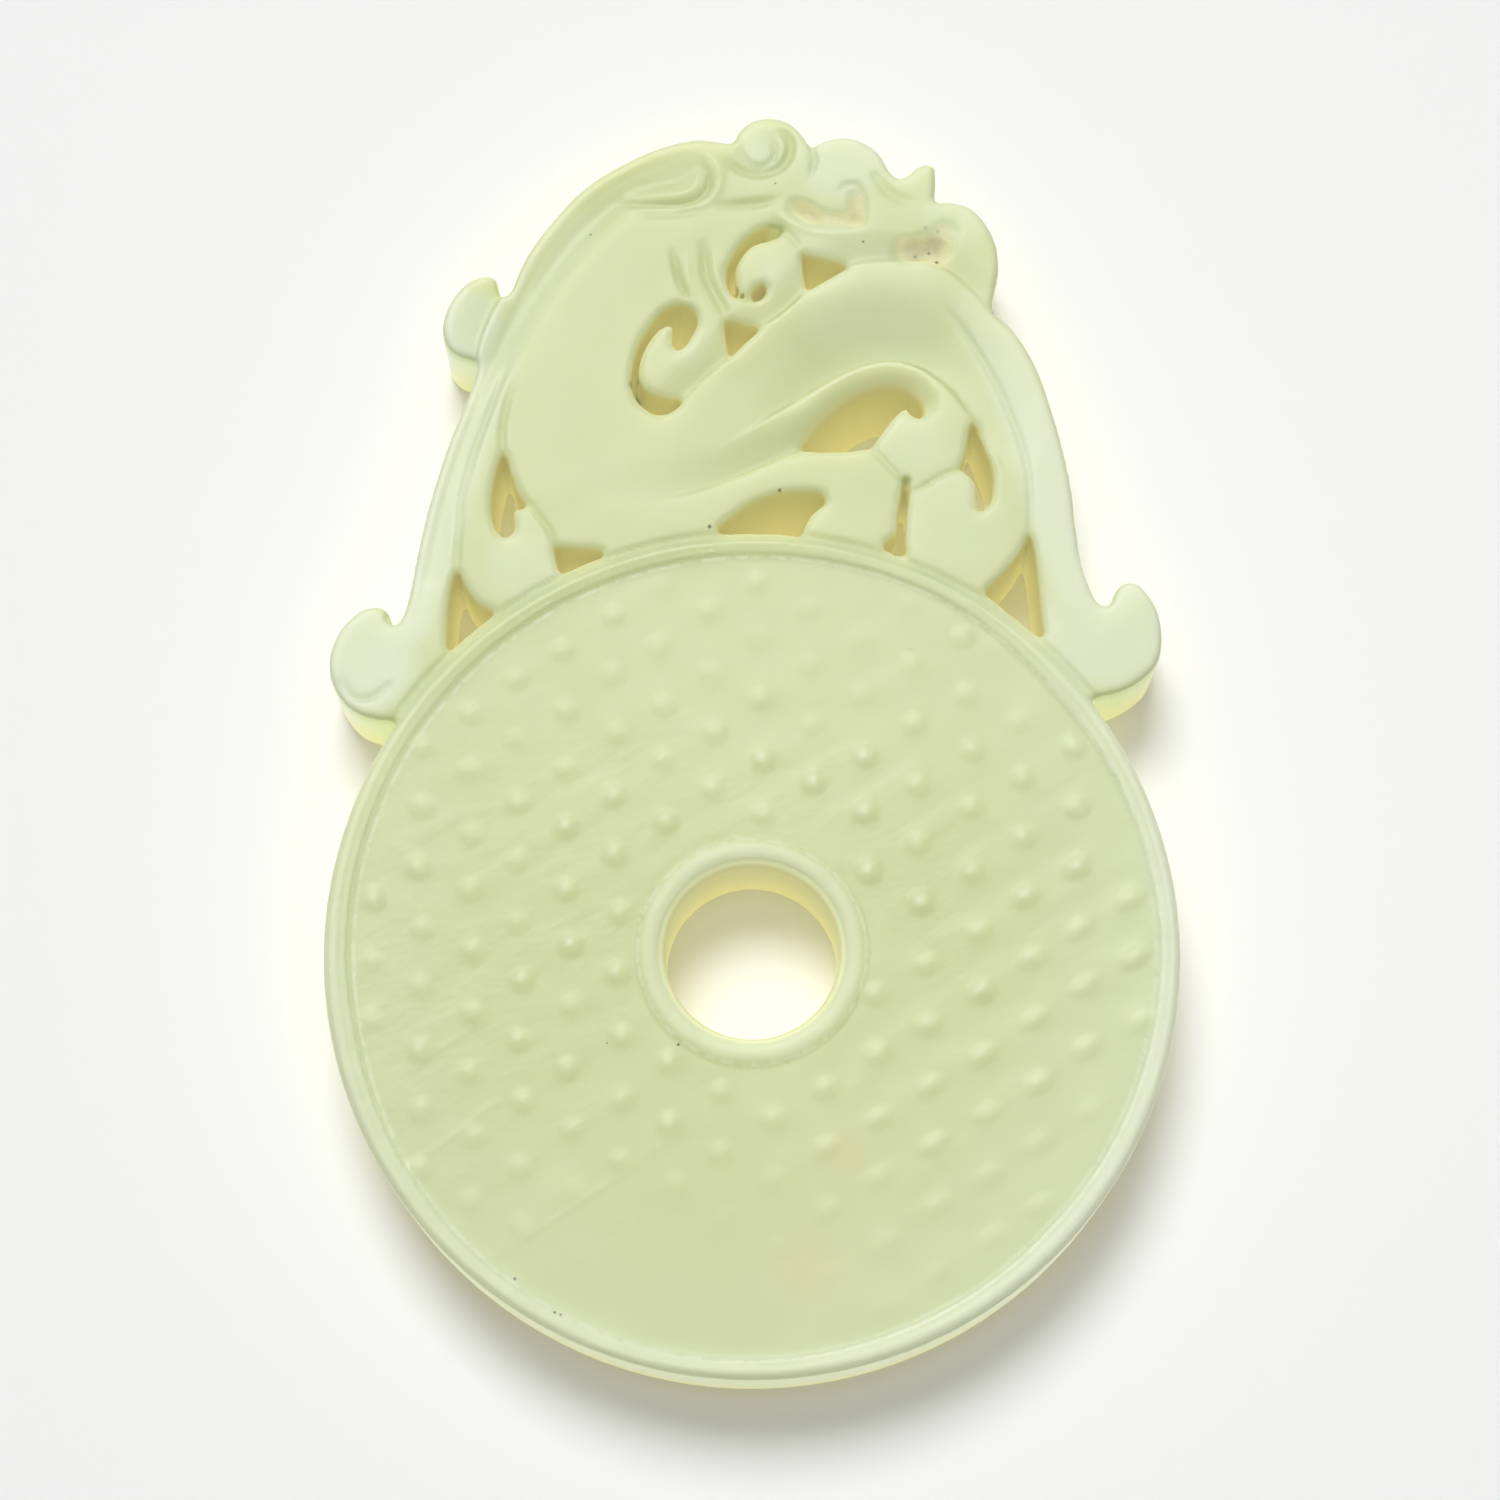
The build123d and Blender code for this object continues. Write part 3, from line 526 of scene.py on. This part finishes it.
jadeLook = {
    "body": (0.652, 0.702, 0.405),
    "cloud": (0.63, 0.684, 0.383),
    "paleAndHighlight": (0.725, 0.78, 0.60),      # on the rim, the bands and the hooks; also the painted highlights on the grains' tips and the collar's roll
    "stain": (0.555, 0.51, 0.235),    # olive, in the gaps and the bore
    "blush": (0.66, 0.585, 0.345),    # tan, in the mouth
    "warm": (0.70, 0.66, 0.36),       # two faint patches low on the disc
    "speckDark": (0.10, 0.085, 0.045),
    "shadeColour": (0.50, 0.565, 0.29),      # painted shade on slopes and in hollows
    "glow": 0.42,                     # light that comes through to the stained walls
    "outerGlow": 0.38,                     # and to the outer walls, painted as glow
    "foot": (0.60, 0.56, 0.26),       # painted: olive where the outer walls meet the ground, glowing to tint the shadow beside them
    "roughness": 0.42,
    "shine": 0.24,
    "lineHighlight": (0.79, 0.82, 0.62),       # painted highlight along the cut lines
    "highlightShare": 0.55,
    "subsurface": 0.7,
    "scatterRadius": (1.0, 0.95, 0.7),
    "scatterScale": 0.003,
    "bending": 1.6,                   # index of refraction
    "cloudScale": 60.0,
    "cloudRange": (0.35, 0.65),
    "scratchScale": 520.0,
    "scratchStretch": (2.4, 1, 1),
    "mottleScale": 1500.0,
    "reliefStrength": 0.7,
    "reliefDepth": 0.18,
    "highlightRange": (0.36, 0.56),
    "highlightLine": (0.17, 0.05),         # from its middle: the painted highlight is gone here, and full here
    "warmSoftness": 0.9,
    "speckSoftness": 0.5,
    "paleMix": 0.8,                   # how far each colour covers the body's at its strongest
    "shadeMix": 0.75,
    "footMix": 0.85,
    "stainMix": 0.9,
    "blushLeast": 0.05,
    "blushGlow": 0.4,
    "footGlow": 0.6,
    "glowAtBack": 1.22,               # light through the stained walls, at the back
    "glowLoss": 0.52,                 # and how much less comes through up to the next height
    "glowTop": 6,
    # gap walls that carry the stain: (across, up, reach, how far the walls lean in at the back)
    "stains": [(-17.3, 21.9, 3.4, 0.12), (-14.9, 29.2, 3.6, 0.1), (-10.3, 25.0, 2.6, 0.25),
               (-5.0, 38.0, 4.6, 0.35), (0.3, 39.5, 2.2, 0.3), (0.8, 44.5, 3.2, 0),
               (5.3, 43.8, 2.4, 0.35), (8.0, 33.7, 5.0, 0.95), (2.0, 27.7, 4.6, 0.75),
               (10.0, 26.9, 3.0, 0), (15.2, 30.5, 3.8, 0.1), (17.3, 22.5, 4.4, 0.1),
               (0.0, -0.3, 6.6, 0)],
    "blushes": [(4.6, 48.0, 1.7), (7.8, 48.0, 2.1), (6.3, 47.3, 1.3), (12.5, 45.4, 2.5)],
    # thin parts that look pale: (across, up, reach, share)
    "pales": [(-23.6, 18.6, 4.0, 1), (-17.2, 40.3, 3.4, 0.9), (22.6, 19.6, 4.6, 0.9),
              (7.2, 51.4, 3.6, 0.65), (14.6, 47.6, 3.0, 0.5), (11.2, 50.4, 2.0, 0.5),
              (1.9, 52.3, 2.2, 0.6), (2.4, 43.6, 2.0, 0.45), (-3.0, 38.8, 2.0, 0.45),
              (11.0, 32.0, 2.8, 0.4), (13.0, 26.6, 4.0, 0.3), (6.0, 45.0, 3.4, 0.25),
              (8.5, 42.0, 5.0, 0.2), (-13.6, 24.6, 3.0, 0.4)],
    # and the two bands: (half width, rows)
    "paleBands": [(1.3, [(-20.6, 21.0, 1), (-19.2, 26.0, 1), (-17.6, 31.0, 0.9), (-15.8, 36.5, 0.6),
                         (-13.6, 41.5, 0.4), (-10.0, 47.0, 0.3)]),
                  (1.5, [(21.2, 21.6, 1), (19.8, 26.0, 1), (18.9, 31.0, 1), (17.4, 36.0, 0.8),
                         (15.4, 40.5, 0.4)])],
    # dark specks of dirt and small pits, and two wide faint ones that darken the rough patch: (across, up,
    # radius, strength)
    "specks": [(-9.1, 46.6, 0.08, 0.6), (-14.85, 30.05, 0.14, 0.7), (2.5, 29.05, 0.1, 0.8),
               (-1.95, 26.75, 0.12, 0.8), (16.45, 40.65, 0.1, 0.9), (-6.5, 36.4, 0.3, 0.6),
               (-6.3, 35.6, 0.16, 0.5), (-5.7, 34.9, 0.12, 0.5), (2.8, 49.7, 0.07, 0.7),
               (8.3, 45.6, 0.08, 0.6), (12.95, 44.15, 0.11, 0.8), (12.5, 44.9, 0.1, 0.5),
               (11.6, 44.7, 0.09, 0.4), (11.6, 45.0, 0.7, 0.2),
               (12.8, 45.35, 0.6, 0.2), (12.3, 46.4, 0.14, 0.25), (13.1, 46.2, 0.12, 0.2),
               (-0.05, 42.6, 0.26, 0.8), (0.5, 42.2, 0.12, 0.6), (1.45, 42.15, 0.26, 0.8),
               (-22.0, 21.6, 0.12, 0.6), (-14.6, -19.7, 0.09, 0.7), (-12.25, -21.75, 0.08, 0.7),
               (-11.9, -21.9, 0.08, 0.6), (-4.6, -5.9, 0.08, 0.9), (-8.9, -5.7, 0.06, 0.6)],
    "warmPlaces": [(5.3, -12.8, 1.1, 0.45), (2.8, -19.5, 1.8, 0.35)],
}


# where each look starts and how soft it is; "up" is a normal's upward share
shading = {
    "wall": (0.96, 0.5),              # falling with up
    "wallTop": (7.25, 0.6),           # falling with height
    "blushTop": (7.2, 0.3),
    "spotEdge": 0.8,
    "spotShare": 0.85,
    "boreReach": 6.5,                 # the bore is less stained than the gaps
    "boreStain": 0.7,
    "outside": 0.3,
    "nearTop": (5.6, 0.8),
    "slope": (0.985, 0.35),
    "hollowDepth": (0.1, 1.4),
    "hollowFlat": (0.6, 0.3),
    "hollowShade": 0.28,
    "crestEdge": 0.6,
    "discEdge": 0.12,
    "underCrest": (16, 6),            # painted shade: the rim is darker where the crest stands on it
    "underCrestOut": (26.6, 0.8),
    "underCrestIn": (24.2, 0.8),
    "underCrestShade": 0.4,
    "upper": (14, 6),
    "upright": (0.5, 0.5),
    "outerLight": 1.1,
    "upperLoss": 0.25,
    "rollReach": 6.4,
    "rollSlope": (0.97, 0.3),
    "rollLight": 0.5,
    "gapEdgeLight": 0.35,
    "foot": (3.4, 3),
    "rimPale": (24.0, 1.4),
    "fieldPale": (15, 10),
    "fieldPaleShare": 0.35,
    "facing": (0.6, 0.5, 0.7),        # pale share: at the centre, gained rightwards, lost upwards
    "collarPale": 0.5,
    "collarEdge": 0.6,
    "paleEdge": 1.6,
    "bandEdge": 1.2,
    "tipsClearOfRim": 0.5,
    "tipsClearOfBore": 0.6,
    "tipRise": (0.05, 0.2),
    "tipLight": (0.1, 1.5, 0.45),     # least, gain towards the light, most
    "lightFrom": (0.87, -0.5),
    "lineShift": 0.35,
    "workedFlat": (0.8, 0.1),
    "workedFall": 0.45,
}


def nearSpots(plan, spots):
    # how near each place is to the closest of some circles, whose rows start (across, up, reach)
    amount = np.zeros(len(plan))
    for across, up, reach, *_ in spots:
        far = np.hypot(plan[:, 0] - across, plan[:, 1] - up)
        amount = np.maximum(amount, falling(far, reach, shading["spotEdge"]))
    return amount


def paintStainsAndShading(mesh):
    # how stained each corner of the mesh is, olive on walls and tan in the mouth, how much painted shade,
    # painted highlight and glow it gets, how pale and how worked
    places, normals = readMesh(mesh)
    plan = places[:, :2] - (0, disc["shift"])
    height = places[:, 2]
    up = normals[:, 2]
    fromBore = np.hypot(places[:, 0], places[:, 1])
    fromCentre = np.hypot(plan[:, 0], plan[:, 1])
    stained = nearSpots(plan, jadeLook["stains"])
    blushed = nearSpots(plan, jadeLook["blushes"])
    plain = (1 - shading["spotShare"] * blushed) * (1 - shading["spotShare"] * stained)
    amounts = {"stain": stained * (falling(up, *shading["wall"]) * falling(height, *shading["wallTop"])),
               "blush": blushed * falling(height, *shading["blushTop"])}
    amounts["stain"] *= np.where(fromBore < shading["boreReach"], shading["boreStain"], 1)
    # painted shade: slopes near the face and hollows of the crest are darker
    outside = fromCentre > disc["radius"] + shading["outside"]
    nearTop = rising(height, *shading["nearTop"])
    slope = falling(up, *shading["slope"])
    below, softness = shading["hollowDepth"]
    hollow = falling(height, crest["face"] - below, softness) * rising(up, *shading["hollowFlat"])
    edge = nearTop * slope * plain * np.where(outside, shading["crestEdge"], shading["discEdge"])
    # painted shade: the rim is darker where the crest stands on it
    shaded = (shading["underCrestShade"] * rising(plan[:, 1], *shading["underCrest"])
              * falling(fromCentre, *shading["underCrestOut"])
              * rising(fromCentre, *shading["underCrestIn"]))
    amounts["shade"] = np.clip(edge + shading["hollowShade"] * hollow * outside + shaded, 0, 1)
    # painted light: the upright outer walls glow, less so on the crest's upper part
    upper = rising(plan[:, 1], *shading["upper"])
    upright = falling(up, *shading["upright"])
    amounts["outer"] = upright * (shading["outerLight"] - shading["upperLoss"] * upper)
    # light also comes through the rolled edges of the gaps and the collar
    onRoll = (fromBore < shading["rollReach"]) * falling(up, *shading["rollSlope"])
    edges = shading["gapEdgeLight"] * slope * (1 - plain) + shading["rollLight"] * onRoll
    amounts["outer"] = np.maximum(amounts["outer"], nearTop * edges)
    # painted light: the outer walls turn olive towards the ground and glow there
    amounts["foot"] = falling(height, *shading["foot"]) * upright
    # the rim is pale, most of all on its right and least towards the top, and the field pales towards it;
    # partly the stone's tone, partly painted light by side
    share, rightwards, lost = shading["facing"]
    gained = rightwards * np.clip(plan[:, 0], 0, None) - lost * np.clip(plan[:, 1], 0, None)
    facing = np.clip(share + gained / disc["radius"], 0, 1)
    paleAndHighlight = rising(fromCentre, *shading["rimPale"])
    paleAndHighlight += shading["fieldPaleShare"] * rising(fromCentre, *shading["fieldPale"])
    paleAndHighlight = np.clip(paleAndHighlight, 0, 1) * facing * ~outside
    # painted light: the collar's roll is pale, as if lit through the stone
    onCollar = falling(fromBore, collar["foot"], shading["collarEdge"])
    paleAndHighlight = np.maximum(paleAndHighlight, shading["collarPale"] * onCollar)
    for across, upTo, reach, share in jadeLook["pales"]:
        far = np.hypot(plan[:, 0] - across, plan[:, 1] - upTo)
        paleAndHighlight = np.maximum(paleAndHighlight, share * falling(far, reach, shading["paleEdge"]))
    for halfWidth, rows in jadeLook["paleBands"]:
        far, share = beside(plan, rows)
        paleAndHighlight = np.maximum(paleAndHighlight, share * smooth((halfWidth - np.abs(far)) / shading["bandEdge"] + 0.5))
    # painted highlight on the grains' tips, on the side of the light
    out, _, secondLine = rimLines(places[:, :2])
    inField = out < secondLine - shading["tipsClearOfRim"]
    inField &= fromBore > grains["clearOfBore"] - shading["tipsClearOfBore"]
    above, softness = shading["tipRise"]
    tips = rising(height - disc["fieldTop"], above, softness) * inField
    least, gain, most = shading["tipLight"]
    towardsLight = np.clip(least + gain * (normals[:, 1] - normals[:, 0]), 0, most)
    amounts["paleAndHighlight"] = np.maximum(paleAndHighlight, tips * towardsLight)
    # distance from the cut line inside the rim, shifted by side so that its painted highlight lies on the
    # lit slope, and from the one round the collar
    rightPart, upPart = shading["lightFrom"]
    outward = (rightPart * plan[:, 0] + upPart * plan[:, 1]) / disc["radius"]
    amounts["rimLine"] = out - secondLine - shading["lineShift"] * outward
    amounts["collarLine"] = fromBore - collar["foot"]
    flatness = rising(up, *shading["workedFlat"])
    amounts["worked"] = fieldStrength(places[:, :2]) * flatness * ~outside
    amounts["worked"] *= 1.0 - shading["workedFall"] * plan[:, 0] / disc["radius"]
    for name, amount in amounts.items():
        layer = mesh.attributes.new(name, "FLOAT", "POINT")
        layer.data.foreach_set("value", amount)


def jadeMaterial():
    material = bpy.data.materials.new("waxyJade")
    material.use_nodes = True
    tree = material.node_tree
    shader = tree.nodes["Principled BSDF"]
    start = Sockets(tree, None)
    coords = start.make("ShaderNodeTexCoord", output="Object")

    def softNoise(vector, scale, roughness=0.6):
        return start.make("ShaderNodeTexNoise", {}, {"Vector": vector, "Scale": scale, "Detail": 3.0,
                                                     "Roughness": roughness})

    def blend(amount, first, second):
        pair = [colour if isinstance(colour, Sockets) else (*colour, 1) for colour in (first, second)]
        return start.make("ShaderNodeMix", {"data_type": "RGBA"}, {0: amount, 6: pair[0], 7: pair[1]},
                          output=2)

    def ramped(value, low, high):
        return start.make("ShaderNodeMapRange", {"interpolation_type": "SMOOTHSTEP"},
                          {"Value": value, "From Min": low, "From Max": high})

    def around(places, softness):
        # the shares of all the round places that lie here, added up, seen from above
        total = None
        for across, up, radius, share in places:
            far = start.make("ShaderNodeVectorMath", {"operation": "DISTANCE"},
                             {0: flat, 1: (across * mm, (up + disc["shift"]) * mm, 0)}, output="Value")
            here = ramped(far, radius * (1 + softness) * mm, radius * (1 - softness) * mm) * share
            total = here if total is None else total + here
        return total

    clouds = softNoise(coords, jadeLook["cloudScale"], roughness=0.5)
    flat = start.make("ShaderNodeVectorMath", {"operation": "MULTIPLY"}, {0: coords, 1: (1, 1, 0)})
    layers = ("stain", "blush", "shade", "outer", "foot", "paleAndHighlight", "worked", "rimLine", "collarLine")
    stain, blush, shade, outer, foot, paleAndHighlight, worked, rimLine, collarLine = [
        start.make("ShaderNodeAttribute", {"attribute_name": layer}, output="Fac") for layer in layers]
    # scratches of the tool along the cuts
    along = start.make("ShaderNodeMapping", {"vector_type": "TEXTURE"},
                       {"Vector": coords, "Rotation": (0, 0, math.radians(grains["cutAngle"])),
                        "Scale": jadeLook["scratchStretch"]})
    scratches = softNoise(along, jadeLook["scratchScale"])
    mottle = softNoise(coords, jadeLook["mottleScale"])
    relief = start.make("ShaderNodeBump", {}, {"Height": scratches * worked + mottle * blush,
                                               "Strength": jadeLook["reliefStrength"],
                                               "Distance": jadeLook["reliefDepth"] * mm})
    tree.links.new(relief.socket, shader.inputs["Normal"])
    colour = blend(ramped(clouds, *jadeLook["cloudRange"]), jadeLook["cloud"], jadeLook["body"])
    colour = blend(around(jadeLook["warmPlaces"], jadeLook["warmSoftness"]), colour, jadeLook["warm"])
    # pale tone, and painted highlights on the grains' tips and the collar's roll
    colour = blend(paleAndHighlight * jadeLook["paleMix"], colour, jadeLook["paleAndHighlight"])
    # painted shade on slopes, edges and hollows
    colour = blend(shade * jadeLook["shadeMix"], colour, jadeLook["shadeColour"])
    # painted highlight: the cut lines are bright in places, on their lit side
    lineHighlight = ramped(mottle, *jadeLook["highlightRange"]) * jadeLook["highlightShare"]
    for line in (rimLine, collarLine):
        onLine = ramped(start.maths("ABSOLUTE", line), *jadeLook["highlightLine"])
        colour = blend(onLine * lineHighlight, colour, jadeLook["lineHighlight"])
    colour = blend(foot * jadeLook["footMix"], colour, jadeLook["foot"])
    colour = blend(stain * jadeLook["stainMix"], colour, jadeLook["stain"])
    colour = blend(blush * (mottle + jadeLook["blushLeast"]), colour, jadeLook["blush"])
    colour = blend(around(jadeLook["specks"], jadeLook["speckSoftness"]), colour, jadeLook["speckDark"])
    shader.inputs["Base Color"].default_value = (*jadeLook["body"], 1)
    tree.links.new(colour.socket, shader.inputs["Base Color"])
    # less light comes through just below the face
    height = start.make("ShaderNodeSeparateXYZ", {}, {0: coords}, output="Z")
    below = jadeLook["glowAtBack"] - ramped(height, 0, jadeLook["glowTop"] * mm) * jadeLook["glowLoss"]
    # painted light: the mouth's tan, the walls' feet and the outer walls glow a little
    unstained = blush * jadeLook["blushGlow"] + foot * jadeLook["footGlow"]
    unstained = unstained + outer * (jadeLook["outerGlow"] / jadeLook["glow"])
    lit = stain * below + (1 - stain) * unstained
    glow = start.make("ShaderNodeVectorMath", {"operation": "SCALE"}, {0: colour, "Scale": lit})
    tree.links.new(glow.socket, shader.inputs["Emission Color"])
    shader.inputs["Emission Strength"].default_value = jadeLook["glow"]
    shader.inputs["Roughness"].default_value = jadeLook["roughness"]
    shader.inputs["IOR"].default_value = jadeLook["bending"]
    shader.inputs["Specular IOR Level"].default_value = jadeLook["shine"]
    shader.inputs["Subsurface Weight"].default_value = jadeLook["subsurface"]
    shader.inputs["Subsurface Radius"].default_value = jadeLook["scatterRadius"]
    shader.inputs["Subsurface Scale"].default_value = jadeLook["scatterScale"]
    return material


stone = carvedStone()
paintStainsAndShading(stone.data)
stone.data.materials.clear()
stone.data.materials.append(jadeMaterial())
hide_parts("jade_pendant")
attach(stone, "root")
print("stone finished")

studio = {
    "floorColour": (0.9, 0.9, 0.895),
    "floorSize": 3.0,
    "floorDrop": 0.02,       # millimetres below the stone's back
    "floorRoughness": 0.9,
    "floorShine": 0.1,
    "aim": (0.012, 0.005, 0.0),
    # soft lights: (place, width, power, spread in degrees)
    "lights": {"keyLight": ((-0.21, 1.04, 1.82), 1.05, 31.6, 180),
               "poolLight": ((0.0, 0.03, 0.6), 0.12, 0.0026, 16)},
    "skyTop": 0.47,
    "skyEdge": 0.13,
}


def paperFloor():
    bm = bmesh.new()
    bmesh.ops.create_grid(bm, x_segments=1, y_segments=1, size=studio["floorSize"] / 2,
                          calc_uvs=False)
    bmesh.ops.translate(bm, verts=bm.verts, vec=(0, 0, -studio["floorDrop"] * mm))
    mesh = bpy.data.meshes.new("paperFloor")
    bm.to_mesh(mesh)
    bm.free()
    floor = bpy.data.objects.new("paperFloor", mesh)
    bpy.context.scene.collection.objects.link(floor)
    material = bpy.data.materials.new("whitePaper")
    material.use_nodes = True
    shader = material.node_tree.nodes["Principled BSDF"]
    shader.inputs["Base Color"].default_value = (*studio["floorColour"], 1)
    shader.inputs["Roughness"].default_value = studio["floorRoughness"]
    shader.inputs["Specular IOR Level"].default_value = studio["floorShine"]
    mesh.materials.append(material)


def aimed(place, target):
    # turn that looks from a place towards a target
    return (Vector(target) - Vector(place)).to_track_quat("-Z", "Y").to_euler()


def softLights():
    for name, (place, width, power, spread) in studio["lights"].items():
        data = bpy.data.lights.new(name, "AREA")
        data.shape = "DISK"
        data.size = width
        data.energy = power
        data.spread = math.radians(spread)
        light = bpy.data.objects.new(name, data)
        light.location = place
        light.rotation_euler = aimed(place, studio["aim"])
        bpy.context.scene.collection.objects.link(light)
    world = bpy.data.worlds.new("studioSky")
    world.use_nodes = True
    tree = world.node_tree
    start = Sockets(tree, None)
    skyward = start.make("ShaderNodeTexCoord")
    upwards = start.make("ShaderNodeSeparateXYZ", inputs={0: skyward}, output="Z")
    strength = upwards * (studio["skyTop"] - studio["skyEdge"]) + studio["skyEdge"]
    tree.links.new(strength.socket, tree.nodes["Background"].inputs["Strength"])
    tree.nodes["Background"].inputs["Color"].default_value = (1, 1, 1, 1)
    bpy.context.scene.world = world


view = {
    "place": (-1.232, -42.115, 221.864),   # millimetres
    "tilt": 14.3,                          # degrees from straight down
    "turn": -1.5,
    "lens": 86.4,
    "sensor": 36,
    "clip": (0.01, 10),                    # metres
}


def photoCamera():
    data = bpy.data.cameras.new("photoCamera")
    data.lens = view["lens"]
    data.sensor_width = view["sensor"]
    data.clip_start, data.clip_end = view["clip"]
    camera = bpy.data.objects.new("photoCamera", data)
    camera.location = Vector(view["place"]) * mm
    camera.rotation_euler = (math.radians(view["tilt"]), 0, math.radians(view["turn"]))
    bpy.context.scene.collection.objects.link(camera)
    bpy.context.scene.camera = camera


paperFloor()
softLights()
photoCamera()
bpy.context.scene.view_settings.view_transform = "Standard"
print("studio ready")
